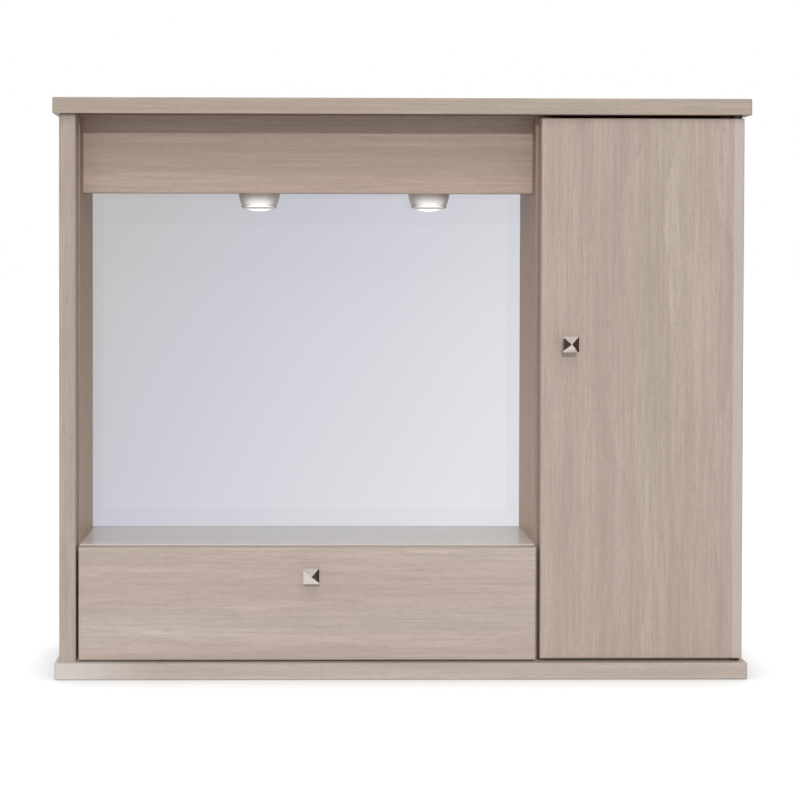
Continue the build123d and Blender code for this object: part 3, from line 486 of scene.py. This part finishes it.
node_finish = {
    # Top board: a painted shadow line, dark brown on its underside behind the front edge
    "top_board": elm_board("elm_top_board", ALONG_X, (0.0, 0.0, 0.0), (0.96, 0.95, 0.95), under_shade=True),
    # Bottom board: paler towards its left end, painted light
    "bottom_board": elm_board(
        "elm_bottom_board", ALONG_X, (1.7, 0.2, 0.4), (1.07, 1.11, 1.15), painted_pale_end=(-0.26, -0.38, 0.75)
    ),
    "flap": elm_board("elm_flap", ALONG_X, (3.1, 0.9, 0.2), (1.07, 1.09, 1.12)),
    "fascia": elm_board("elm_fascia", ALONG_X, (5.3, 0.5, 1.4), (0.98, 0.945, 0.925)),
    # Bay shelf: whitened and paler as a painted reflection, and paler at its front edge as a painted
    # highlight
    "bay_shelf": elm_board(
        "elm_bay_shelf",
        ALONG_X,
        (7.9, 1.5, 2.4),
        (1.15, 1.17, 1.19),
        gloss=0.14,
        whiten=0.54,
        front_face_light=(1.7, 1.68, 1.65),
    ),
    "light_shelf": elm_board("elm_light_shelf", ALONG_X, (8.4, 2.1, 0.3)),
    # Door: a paler strip along its right edge, a painted highlight
    "door": elm_board(
        "elm_door", ALONG_Z, (0.6, 0.36, 3.0), (0.98, 0.97, 0.98), painted_pale_end=(0.3655, 0.368, 0.36)
    ),
    "left_front_stile": elm_board("elm_stile", ALONG_Z, (2.4, 1.1, 4.0), (0.96, 0.96, 0.97)),
    "left_side_panel": panel_elm,
    "divider": panel_elm,
    "right_side_panel": panel_elm,
    "cupboard_shelf_lower": cupboard_shelf_elm,
    "cupboard_shelf_upper": cupboard_shelf_elm,
    "bay_back_panel": hardboard,
    "cupboard_back_panel": hardboard,
    "cupboard_hanging_rail": hardboard,
    "door_bush_lower": dark_nylon,
    "door_bush_upper": dark_nylon,
    "door_pivot_pin_lower": burnished_steel,
    "door_pivot_pin_upper": burnished_steel,
}

cup_rim_z, lens_bottom_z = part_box("spot_housing_left")[0].z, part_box("spot_lens_left")[0].z
LENS_GLOW_HEIGHT = 0.0045

slot_finish = {
    "mirror": silvered_glass("silvered_glass"),
    "knob_metal": polished_metal("knob_chrome", linear(222, 214, 208), 0.07, 0.06),
    "lamp_shade": lit_shade(
        "lamp_shade",
        linear(184, 165, 150),
        linear(220, 217, 217),
        z_top=canopy_ceiling_z,
        z_rim=cup_rim_z,
        glow=0.75,
        roughness=0.35,
        front_glare=True,
    ),
    "lamp_lens": lit_shade(
        "lamp_lens",
        linear(214, 210, 208),
        linear(255, 253, 250),
        z_top=lens_bottom_z + LENS_GLOW_HEIGHT,
        z_rim=lens_bottom_z,
        glow=1.3,
        roughness=0.5,
    ),
    "steel": polished_metal("nickel_steel", linear(190, 188, 184), 0.22, 0.14),
    "white_plastic": moulded_plastic("white_nylon", linear(226, 226, 222), 0.38),
    "black_plastic": moulded_plastic("black_plastic", linear(38, 38, 40), 0.42),
    "clear_rubber": moulded_plastic("clear_bumper", linear(214, 212, 204), 0.25),
    "dowel_wood": raw_board("beech_dowel", linear(205, 178, 142), linear(186, 156, 120)),
}

for row in frame["record"]["subparts"]:
    shown = nodes[row["node"]]
    shown.data.materials.clear()
    shown.data.materials.append(node_finish.get(row["node"]) or slot_finish[row["material_slot"]])

# Turned and tapered pieces that stand for the CAD's plain fittings

MERGE_REACH = 1e-6


def across(direction):
    """Two unit vectors square to a direction and to each other, right-handed with it."""
    forward = np.array(direction, float)
    helper = np.array(RIGHTWARD if abs(forward[2]) > 0.5 else UP)
    first = np.cross(helper, forward)
    first /= np.linalg.norm(first)
    return first, np.cross(forward, first), forward


def turned_grid(profile, start, direction, sides=48):
    """Rows of points: start + travel * direction + radius * (cos a, sin a) across it, per profile row."""
    first, second, forward = across(direction)
    radius, travel = (np.array(column)[:, None, None] for column in zip(*profile))
    angle = np.linspace(0, 2 * math.pi, sides, endpoint=False)[None, :, None]
    return np.array(start) + travel * forward + radius * (np.cos(angle) * first + np.sin(angle) * second)


def squared_grid(profile, start, direction, sides=96):
    """Rows of rounded squares: radius = half size / (|cos a|^p + |sin a|^p)^(1/p), p from 2 to sharper."""
    first, second, forward = across(direction)
    half_size, travel, power = (np.array(column)[:, None] for column in zip(*profile))
    angle = np.linspace(0, 2 * math.pi, sides, endpoint=False)[None, :]
    radius = half_size / (np.abs(np.cos(angle)) ** power + np.abs(np.sin(angle)) ** power) ** (1 / power)
    plane = (radius * np.cos(angle))[:, :, None] * first + (radius * np.sin(angle))[:, :, None] * second
    return np.array(start) + travel[:, :, None] * forward + plane


def piece_from_grids(name, grids, body, replaced, finish_slot, sharp_degrees=32.0):
    """One mesh of grids of rows by columns, each closed around its columns and shut at both end rows."""
    points, quads, offset = [], [], 0
    for grid in grids:
        rows, columns = grid.shape[:2]
        index = offset + np.arange(rows * columns).reshape(rows, columns)
        beside = np.roll(index, -1, axis=1)
        quads.append(np.stack([index[:-1], beside[:-1], beside[1:], index[1:]], axis=-1).reshape(-1, 4))
        points.append(grid.reshape(-1, 3))
        offset += rows * columns
    mesh = bpy.data.meshes.new(name)
    mesh.from_pydata(np.concatenate(points).tolist(), [], np.concatenate(quads).tolist())
    work = bmesh.new()
    work.from_mesh(mesh)
    bmesh.ops.remove_doubles(work, verts=work.verts, dist=MERGE_REACH)
    bmesh.ops.recalc_face_normals(work, faces=work.faces)
    for face in work.faces:
        face.smooth = True
    work.to_mesh(mesh)
    work.free()
    mesh.set_sharp_from_angle(angle=math.radians(sharp_degrees))
    mesh.materials.append(slot_finish[finish_slot])
    piece = bpy.data.objects.new(name, mesh)
    bpy.context.collection.objects.link(piece)
    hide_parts(*replaced)
    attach(piece, body)


# Screws: a domed pan head with a cross recess, and a plain shank that is sunk in its hole
SCREW_HEAD, SCREW_SHANK = 0.0035, 0.00175
HEAD_RINGS, HEAD_SIDES = 14, 40
CROSS_WIDTH, CROSS_REACH, CROSS_DEPTH = 0.00055, 0.0021, 0.0007
DOME_FALL, CROSS_LIMIT, TIP_START = 0.45, 0.6, 0.8


def pan_head(seat, outwards, height, shank_length, head_radius=SCREW_HEAD, shank_radius=SCREW_SHANK):
    """Head rows: height * (1 - DOME_FALL * (r / R)^4), less the cross where r is short and one way narrow."""
    first, second, forward = across(outwards)
    share = np.linspace(0, 1, HEAD_RINGS)[:, None]
    angle = np.linspace(0, 2 * math.pi, HEAD_SIDES, endpoint=False)[None, :]
    wide, tall = head_radius * share * np.cos(angle), head_radius * share * np.sin(angle)
    narrow = np.minimum(np.abs(wide), np.abs(tall))
    in_cross = (narrow < CROSS_WIDTH) & (head_radius * share < CROSS_REACH)
    rise = height * (1 - DOME_FALL * share**4) - in_cross * min(CROSS_DEPTH, height * CROSS_LIMIT)
    dome = wide[:, :, None] * first + tall[:, :, None] * second + rise[:, :, None] * forward
    under = turned_grid(
        [
            (head_radius, 0.0),
            (shank_radius, 0.0),
            (shank_radius, -shank_length * TIP_START),
            (0.0, -shank_length),
        ],
        seat,
        outwards,
        HEAD_SIDES,
    )
    return np.concatenate([np.array(seat) + dome, under])


def middle(node):
    """The middle of a CAD node's box."""
    low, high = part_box(node)
    return (low + high) / 2


def screw_set(name, body, seats, outwards, height, shank_length, **sizes):
    """One piece of several alike screws that stands for the CAD node of the same name."""
    grids = [pan_head(seat, outwards, height, shank_length, **sizes) for seat in seats]
    piece_from_grids(f"{name}_turned", grids, body, [name], "steel")


# Screws: their length and head, the half spread of each pair, and how far in or down they sit on each fitting
SCREW_LENGTH, PAN_HEIGHT = 0.0118, 0.0015
KNOB_SCREW_HEAD, KNOB_SCREW_SHANK = 0.0045, 0.002
CUP_SPREAD, FOOT_SPREAD, CATCH_SPREAD = 0.0215, 0.011, 0.017
FOOT_SCREW_IN, FOOT_THICKNESS, CATCH_EAR, STRIKE_SINK = 0.0075, 0.003, 0.005, 0.00065

cup_seats, foot_seats = [], []
for side in ("left", "right"):
    cup_middle, cup_high = middle(f"flap_hinge_cup_{side}"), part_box(f"flap_hinge_cup_{side}")[1]
    arm_middle, arm_high = middle(f"flap_hinge_arm_{side}"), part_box(f"flap_hinge_arm_{side}")[1]
    arm_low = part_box(f"flap_hinge_arm_{side}")[0]
    for way in (-1, 1):
        cup_seats.append((cup_middle.x + way * CUP_SPREAD, cup_high.y, cup_middle.z))
        foot_seats.append(
            (arm_middle.x + way * FOOT_SPREAD, arm_high.y - FOOT_SCREW_IN, arm_low.z + FOOT_THICKNESS)
        )
screw_set("flap_cup_screws", "flap", cup_seats, WALLWARD, PAN_HEIGHT, SCREW_LENGTH)
screw_set("flap_arm_screws", "cabinet", foot_seats, UP, PAN_HEIGHT, SCREW_LENGTH)

door_catch, door_catch_low = middle("door_magnet_catch"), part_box("door_magnet_catch")[0]
flap_catch, flap_catch_high = middle("flap_magnet_catch"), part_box("flap_magnet_catch")[1]
catch_grids = [
    pan_head(
        (door_catch_low.x + CATCH_EAR, door_catch.y, door_catch.z + way * CATCH_SPREAD),
        RIGHTWARD,
        PAN_HEIGHT,
        SCREW_LENGTH,
    )
    for way in (-1, 1)
] + [
    pan_head(
        (flap_catch.x + way * CATCH_SPREAD, flap_catch.y, flap_catch_high.z - CATCH_EAR),
        DOWN,
        PAN_HEIGHT,
        SCREW_LENGTH,
    )
    for way in (-1, 1)
]
piece_from_grids("catch_screws_turned", catch_grids, "cabinet", ["catch_screws"], "steel")

for body in ("door", "flap"):
    plate, plate_high = middle(f"{body}_strike_plate"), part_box(f"{body}_strike_plate")[1]
    seat = (plate.x, plate_high.y - STRIKE_SINK, plate.z)
    screw_set(f"{body}_strike_screw", body, [seat], WALLWARD, STRIKE_SINK, SCREW_LENGTH)
    knob_screw, knob_screw_box = middle(f"{body}_knob_screw"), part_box(f"{body}_knob_screw")
    seat = (knob_screw.x, knob_screw_box[1].y - PAN_HEIGHT, knob_screw.z)
    length = knob_screw_box[1].y - knob_screw_box[0].y - PAN_HEIGHT
    screw_set(
        f"{body}_knob_screw",
        body,
        [seat],
        WALLWARD,
        PAN_HEIGHT,
        length,
        head_radius=KNOB_SCREW_HEAD,
        shank_radius=KNOB_SCREW_SHANK,
    )

back_low, back_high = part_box("back_panel_screws")
back_xs = (back_low.x + SCREW_HEAD, (back_low.x + back_high.x) / 2, back_high.x - SCREW_HEAD)
back_zs = (back_low.z + SCREW_HEAD, back_high.z - SCREW_HEAD)
back_seats = [(x, back_high.y - PAN_HEIGHT, z) for x in back_xs for z in back_zs]
back_shank = back_high.y - back_low.y - PAN_HEIGHT
screw_set("back_panel_screws", "cabinet", back_seats, WALLWARD, PAN_HEIGHT, back_shank)

HANGER_SPREAD, HANGER_SCREW = 0.023, 0.008
hanger_seats = []
for side in ("left", "right"):
    plate = middle(f"hanger_plate_{side}")
    for way in (-1, 1):
        hanger_seats.append((plate.x + way * HANGER_SPREAD, -PAN_HEIGHT, middle("hanger_screws").z))
screw_set("hanger_screws", "cabinet", hanger_seats, WALLWARD, PAN_HEIGHT, HANGER_SCREW)

# Knobs: a round stem flares to a square with a thin land, and a four-sided peak closes it
ROUND, SOFTENED, SQUARE, CRISP = 2.0, 3.0, 12.0, 26.0
STEM_RADIUS, STEM_END, FLARE_START = 0.0045, 0.0118, 0.0127
LAND_START, LAND_END, PEAK_START = 0.0162, 0.0174, 0.01775
KNOB_CREASE = 18.0
for body in ("door", "flap"):
    knob_low, knob_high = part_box(f"{body}_knob")
    half = (knob_high.x - knob_low.x) / 2
    reach = knob_high.y - knob_low.y
    profile = [
        (0.0, 0.0, ROUND),
        (STEM_RADIUS, 0.0, ROUND),
        (STEM_RADIUS, STEM_END, ROUND),
        (STEM_RADIUS + 0.0007, FLARE_START - 0.0002, SOFTENED),
        (half * 0.70, FLARE_START, SQUARE),
        (half * 0.90, LAND_START - 0.0014, SQUARE),
        (half * 0.985, LAND_START - 0.0004, CRISP),
        (half, LAND_START, CRISP),
        (half, LAND_END, CRISP),
        (half * 0.99, LAND_END + 0.0002, CRISP),
        (half * 0.975, PEAK_START, CRISP),
        (half * 0.5, PEAK_START + (reach - PEAK_START) * 0.487, CRISP),
        (half * 0.06, reach - 0.0001, CRISP),
        (0.0, reach, CRISP),
    ]
    seat = (middle(f"{body}_knob").x, knob_high.y, middle(f"{body}_knob").z)
    knob_grids = [squared_grid(profile, seat, ROOMWARD)]
    piece_from_grids(f"{body}_knob_faceted", knob_grids, body, [f"{body}_knob"], "knob_metal", KNOB_CREASE)

# Lamps: cup, ring and lens turned about an upright axis
SOCKET_RADIUS, SOCKET_CEILING = 0.0135, 0.016
RIM_INNER, RIM_OUTER, CUP_TOP_RADIUS = 0.0184, 0.0205, 0.0246
CAP_RADIUS, STUB_RADIUS, STUB_LENGTH = 0.0220, 0.0050, 0.0040
RING_INNER, RING_OUTER, RING_EASE = 0.0181, 0.0206, 0.0003
LENS_RADIUS, LENS_BOW, LENS_EASE = 0.0179, 0.003, 0.0002
LAMP_SIDES = 72
for side in ("left", "right"):
    cup_low, cup_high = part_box(f"spot_housing_{side}")
    axis_x, axis_y = middle(f"spot_housing_{side}").x, middle(f"spot_housing_{side}").y
    shelf_up, cup_tall = canopy_ceiling_z - cup_low.z, cup_high.z - cup_low.z
    cup_profile = [
        (0.0, SOCKET_CEILING),
        (SOCKET_RADIUS - 0.0010, SOCKET_CEILING),
        (SOCKET_RADIUS, SOCKET_CEILING - 0.0008),
        (RIM_INNER - 0.0006, 0.0004),
        (RIM_INNER, 0.0),
        (RIM_OUTER - 0.0004, 0.0),
        (RIM_OUTER, 0.0005),
        (0.0226, 0.0065),
        (0.0238, 0.0120),
        (0.0243, 0.0165),
        (CUP_TOP_RADIUS, shelf_up - 0.0004),
        (CUP_TOP_RADIUS - 0.0004, shelf_up),
        (CAP_RADIUS, shelf_up),
        (CAP_RADIUS, cup_tall - STUB_LENGTH - 0.0002),
        (STUB_RADIUS, cup_tall - STUB_LENGTH),
        (STUB_RADIUS, cup_tall),
        (0.0, cup_tall),
    ]
    base = (axis_x, axis_y, cup_low.z)
    piece_from_grids(
        f"lamp_cup_{side}",
        [turned_grid(cup_profile, base, UP, LAMP_SIDES)],
        "cabinet",
        [f"spot_housing_{side}"],
        "lamp_shade",
    )
    ring_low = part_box(f"spot_ring_{side}")[0]
    ring_tall = cup_low.z - ring_low.z
    ring_profile = [
        (RING_INNER, ring_tall),
        (RING_INNER, RING_EASE),
        (RING_INNER + RING_EASE, 0.0),
        (RING_OUTER - 0.0010, 0.0002),
        (RING_OUTER, 0.0010),
        (RING_OUTER, ring_tall - RING_EASE),
        (RING_OUTER - RING_EASE, ring_tall),
        (RING_INNER, ring_tall),
    ]
    piece_from_grids(
        f"lamp_ring_{side}",
        [turned_grid(ring_profile, (axis_x, axis_y, ring_low.z), UP, LAMP_SIDES)],
        "cabinet",
        [f"spot_ring_{side}"],
        "lamp_shade",
    )
    lens_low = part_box(f"spot_lens_{side}")[0]
    lens_tall = cup_low.z - lens_low.z
    lens_profile = [(LENS_RADIUS * share, LENS_BOW * share**2) for share in np.linspace(0, 1, 9)]
    lens_profile += [
        (LENS_RADIUS, lens_tall - LENS_EASE),
        (LENS_RADIUS - LENS_EASE, lens_tall),
        (0.0, lens_tall),
    ]
    piece_from_grids(
        f"lamp_lens_{side}",
        [turned_grid(lens_profile, (axis_x, axis_y, lens_low.z), UP, LAMP_SIDES)],
        "cabinet",
        [f"spot_lens_{side}"],
        "lamp_lens",
    )

# Shelf pins: round nickel pins with a rounded nose, in place of the CAD's flat-sided ones
PIN_RADIUS, PIN_LENGTH, PIN_SIDES = 0.0025, 0.016, 32
PIN_GAP, PIN_NOSE = 0.0001, 0.0006
pin_low, pin_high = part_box("shelf_pins")
pin_profile = [
    (0.0, 0.0),
    (PIN_RADIUS, 0.0),
    (PIN_RADIUS, PIN_LENGTH - PIN_NOSE),
    (PIN_RADIUS - PIN_NOSE + 0.0001, PIN_LENGTH),
    (0.0, PIN_LENGTH),
]
pin_rows = []
pin_half = PIN_RADIUS * math.cos(math.pi / 8)  # half the width of an eight-sided pin across its flats
for shelf in ("cupboard_shelf_lower", "cupboard_shelf_upper"):
    for y in (pin_low.y + pin_half, pin_high.y - pin_half):
        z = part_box(shelf)[0].z - PIN_GAP - PIN_RADIUS
        pin_rows.append(turned_grid(pin_profile, (pin_low.x, y, z), RIGHTWARD, PIN_SIDES))
        pin_rows.append(turned_grid(pin_profile, (pin_high.x, y, z), LEFTWARD, PIN_SIDES))
piece_from_grids("shelf_pins_turned", pin_rows, "cabinet", ["shelf_pins"], "steel")

# Stage


def white_floor():
    """A wide square under the cabinet that looks white to the camera and keeps the cabinet's soft shadow.

    To glossy rays it is a pale sheet with a dark screen at each side, where x / |y| is large. The contact
    shade is 1 - CONTACT_SHADE * (1 - openness) within CONTACT_REACH of the cabinet.
    """
    mesh = bpy.data.meshes.new("floor")
    ways = ((-1, -1), (1, -1), (1, 1), (-1, 1))
    corners = [(x * FLOOR_REACH, y * FLOOR_REACH, -FLOOR_DROP) for x, y in ways]
    mesh.from_pydata(corners, [], [(0, 1, 2, 3)])
    floor = bpy.data.objects.new("floor", mesh)
    bpy.context.collection.objects.link(floor)
    material, tree, surface = blank_material("floor_white", Roughness=1.0)
    surface.inputs["Specular IOR Level"].default_value = 0.0
    surface.inputs["Base Color"].default_value = FLOOR_BOUNCE
    x, y = object_part(tree, 0), object_part(tree, 1)
    leftward = arithmetic(tree, "MULTIPLY", x, -1.0)
    away = arithmetic(tree, "MAXIMUM", arithmetic(tree, "ABSOLUTE", y), LEAST_Y)
    slant = arithmetic(tree, "DIVIDE", x, away)
    left_slant = arithmetic(tree, "MULTIPLY", slant, -1.0)
    right = arithmetic(tree, "MULTIPLY", ramp(tree, slant, *FLOOR_RIGHT), ramp(tree, x, *FLOOR_RIGHT_START))
    left_start = ramp(tree, leftward, *FLOOR_LEFT_START)
    left = arithmetic(tree, "MULTIPLY", ramp(tree, left_slant, *FLOOR_LEFT), left_start)
    screens = arithmetic(tree, "MAXIMUM", right, left)
    nearness = add_node(tree, "ShaderNodeAmbientOcclusion", {"Distance": CONTACT_REACH})
    openness = nearness.outputs["AO"]
    contact = arithmetic(tree, "MULTIPLY_ADD", openness, CONTACT_SHADE, 1 - CONTACT_SHADE)
    contact_grey = add_node(tree, "ShaderNodeCombineColor", {0: contact, 1: contact, 2: contact}).outputs[0]
    white = add_node(tree, "ShaderNodeEmission", {"Color": contact_grey, "Strength": FLOOR_GLOW})
    pale_grey = blend_colours(tree, 1.0, contact_grey, VEIL_GREY, "MULTIPLY")
    shaded = add_node(tree, "ShaderNodeBsdfDiffuse", {"Color": pale_grey})
    both = add_node(tree, "ShaderNodeAddShader", {0: white.outputs[0], 1: shaded.outputs[0]})
    dark = add_node(tree, "ShaderNodeEmission", {"Color": SCREEN_BROWN, "Strength": 1.0})
    pale = add_node(tree, "ShaderNodeEmission", {"Color": SKY_PALE, "Strength": FLOOR_GLOSS_GLOW})
    glossy = add_node(tree, "ShaderNodeMixShader", {0: screens, 1: pale.outputs[0], 2: dark.outputs[0]})
    mirrored = shown_to(tree, "Is Glossy Ray", glossy.outputs[0], otherwise=surface.outputs[0])
    choice = shown_to(tree, "Is Camera Ray", both.outputs[0], otherwise=mirrored)
    tree.links.new(choice, tree.nodes["Material Output"].inputs["Surface"])
    mesh.materials.append(material)


def studio_world():
    """White to the camera, even fill for the surfaces, and for gloss a pale sky with dark side screens."""
    world = bpy.data.worlds.new("studio")
    bpy.context.scene.world = world
    world.use_nodes = True
    tree = world.node_tree
    tree.nodes.clear()
    way = add_node(tree, "ShaderNodeTexCoord").outputs["Generated"]
    sideways = add_node(tree, "ShaderNodeSeparateXYZ", {0: way}).outputs[0]
    leftward = arithmetic(tree, "MULTIPLY", sideways, -1.0)
    left_far = arithmetic(tree, "SUBTRACT", 1.0, ramp(tree, leftward, *SKY_LEFT_FAR))
    left_screen = arithmetic(tree, "MULTIPLY", ramp(tree, leftward, *SKY_LEFT_NEAR), left_far)
    screens = arithmetic(tree, "MAXIMUM", ramp(tree, sideways, *SKY_RIGHT), left_screen)
    seen = blend_colours(tree, screens, SKY_PALE, SCREEN_BROWN)
    fill = add_node(tree, "ShaderNodeBackground", {"Color": FILL_COLOUR, "Strength": FILL_LIGHT})
    white = add_node(tree, "ShaderNodeBackground", {"Color": (1.0, 1.0, 1.0, 1.0), "Strength": 1.0})
    gloss = add_node(tree, "ShaderNodeBackground", {"Color": seen, "Strength": 1.0})
    lit = shown_to(tree, "Is Glossy Ray", gloss.outputs[0], otherwise=fill.outputs[0])
    choice = shown_to(tree, "Is Camera Ray", white.outputs[0], otherwise=lit)
    output = add_node(tree, "ShaderNodeOutputWorld")
    tree.links.new(choice, output.inputs["Surface"])


def sun_lamp(name, energy, travel, softness, colour):
    """A distant lamp that shines along travel, with shadows softened by its angle in degrees and no glare."""
    light = bpy.data.lights.new(name, "SUN")
    light.energy = energy
    light.angle = math.radians(softness)
    light.color = colour
    lamp = bpy.data.objects.new(name, light)
    bpy.context.collection.objects.link(lamp)
    lamp.rotation_euler = Vector(travel).to_track_quat("-Z", "Y").to_euler()
    lamp.visible_glossy = False


white_floor()
studio_world()
sun_lamp("key", KEY_LIGHT, (KEY_SIDE, 1.0, -KEY_FALL), KEY_SOFTNESS, (1.0, 0.985, 0.96))
sun_lamp("overhead", TOP_LIGHT, (0.0, 1.0, -TOP_FALL), TOP_SOFTNESS, (1.0, 1.0, 1.0))

# Camera: left of the middle, with the lens shifted as in the photograph; its angles are in degrees
SENSOR_WIDTH, FOCAL_LENGTH = 36.0, 71.34
SHIFT_X, SHIFT_Y = 0.1192, -0.1509
CAMERA_PLACE = (-0.1277, -1.9012, 0.4678)
PITCH_DOWN, YAW_RIGHT, ROLL = 0.8612, 0.6503, -0.1073
camera_data = bpy.data.cameras.new("camera")
camera_data.sensor_width = SENSOR_WIDTH
camera_data.lens = FOCAL_LENGTH
camera_data.shift_x = SHIFT_X
camera_data.shift_y = SHIFT_Y
camera_data.clip_end = 100.0
camera = bpy.data.objects.new("camera", camera_data)
bpy.context.collection.objects.link(camera)
pitch, yaw, roll = (math.radians(angle) for angle in (PITCH_DOWN, YAW_RIGHT, ROLL))
forward = Vector((math.sin(yaw) * math.cos(pitch), math.cos(yaw) * math.cos(pitch), -math.sin(pitch)))
level_right = Vector((math.cos(yaw), -math.sin(yaw), 0.0))
level_down = forward.cross(level_right)
right = level_right * math.cos(roll) + level_down * math.sin(roll)
down = level_down * math.cos(roll) - level_right * math.sin(roll)
camera.matrix_world = Matrix.Translation(CAMERA_PLACE) @ Matrix(
    (
        (right.x, -down.x, -forward.x),
        (right.y, -down.y, -forward.y),
        (right.z, -down.z, -forward.z),
    )
).to_4x4()
bpy.context.scene.camera = camera
bpy.context.scene.view_settings.view_transform = "Standard"
